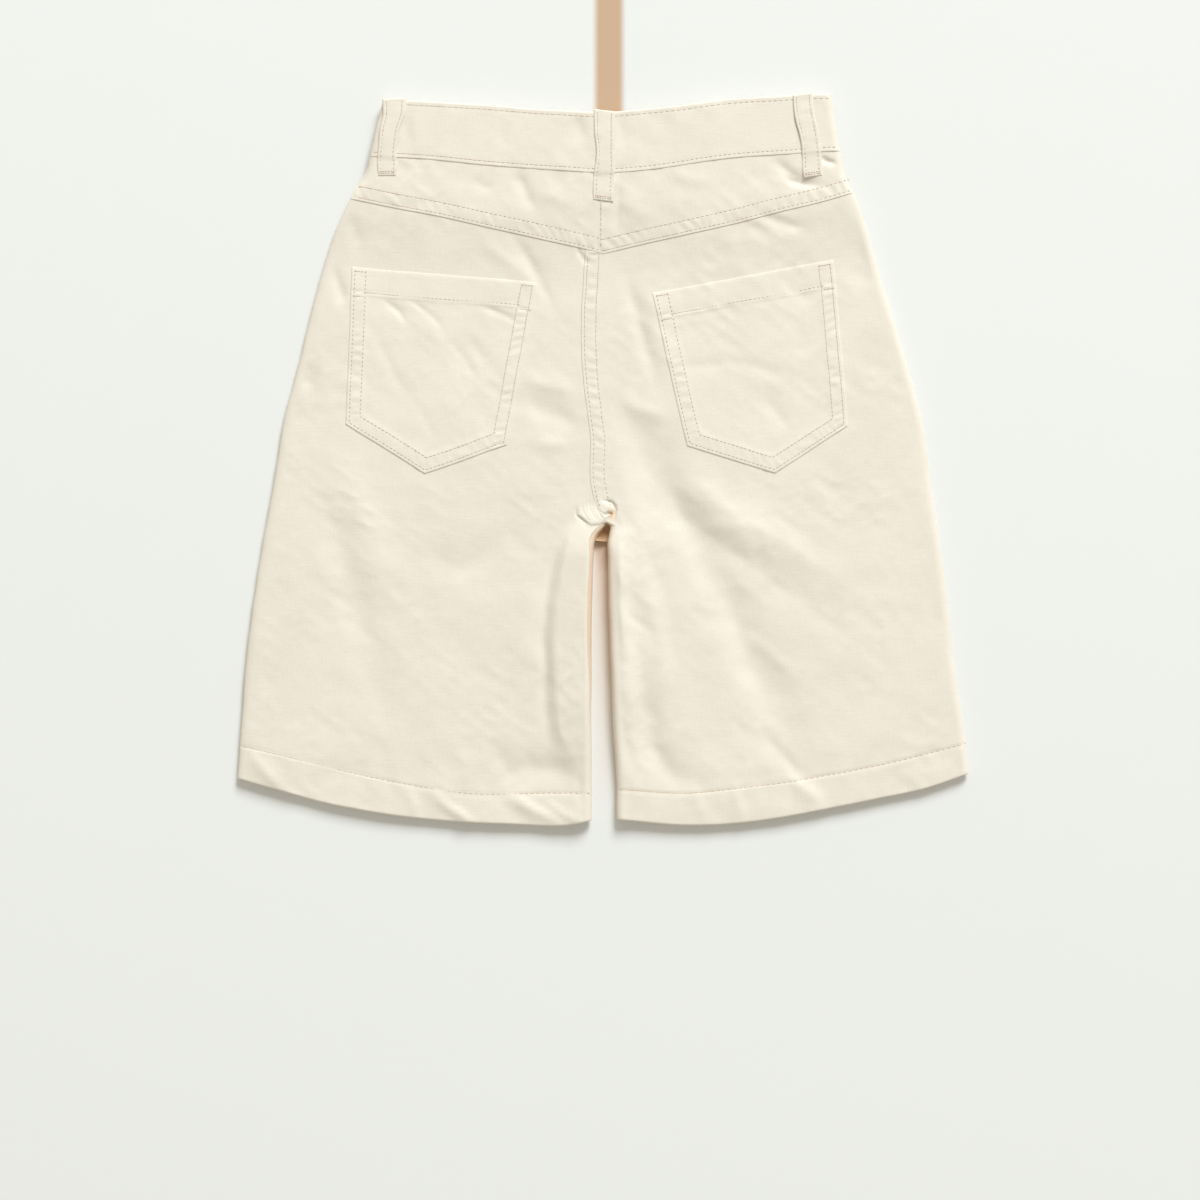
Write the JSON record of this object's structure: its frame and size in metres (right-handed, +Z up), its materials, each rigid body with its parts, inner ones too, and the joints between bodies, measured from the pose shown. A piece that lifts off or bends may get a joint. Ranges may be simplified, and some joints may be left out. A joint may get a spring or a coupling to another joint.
{
  "type": "bermuda shorts",
  "caption": "Cotton twill bermuda shorts laid flat with the back up: pointed yoke, two patch pockets, waistband with belt loops, fly front and open hems.",
  "frame": {"origin": "centre of the bounding box in plan, on the surface that the garment lies on", "axes": "+Z up from the surface, out of the back of the shorts; +Y from the hems to the waist; +X to the viewer's right, looking down with the waist at the top"},
  "size_m": [0.482, 0.4821, 0.0114],
  "materials": {
    "twill": "matt ecru cotton twill",
    "thread": "matt ecru sewing thread",
    "button": "satin",
    "zip_tape": "matt woven tape",
    "zip_metal": "satin"
  },
  "bodies": {
    "root": {"back_left": "twill", "back_right": "twill", "yoke_left": "twill", "yoke_right": "twill", "waistband": "twill", "pocket_left": "twill", "pocket_right": "twill", "belt_loop_back_left": "twill", "belt_loop_back_centre": "twill", "belt_loop_back_right": "twill", "belt_loop_front_left": "twill", "belt_loop_front_right": "twill", "front_left": "twill", "front_right": "twill", "button": "button", "zip_tape": "zip_tape", "zip_slider": "zip_metal"}
  },
  "joints": []
}
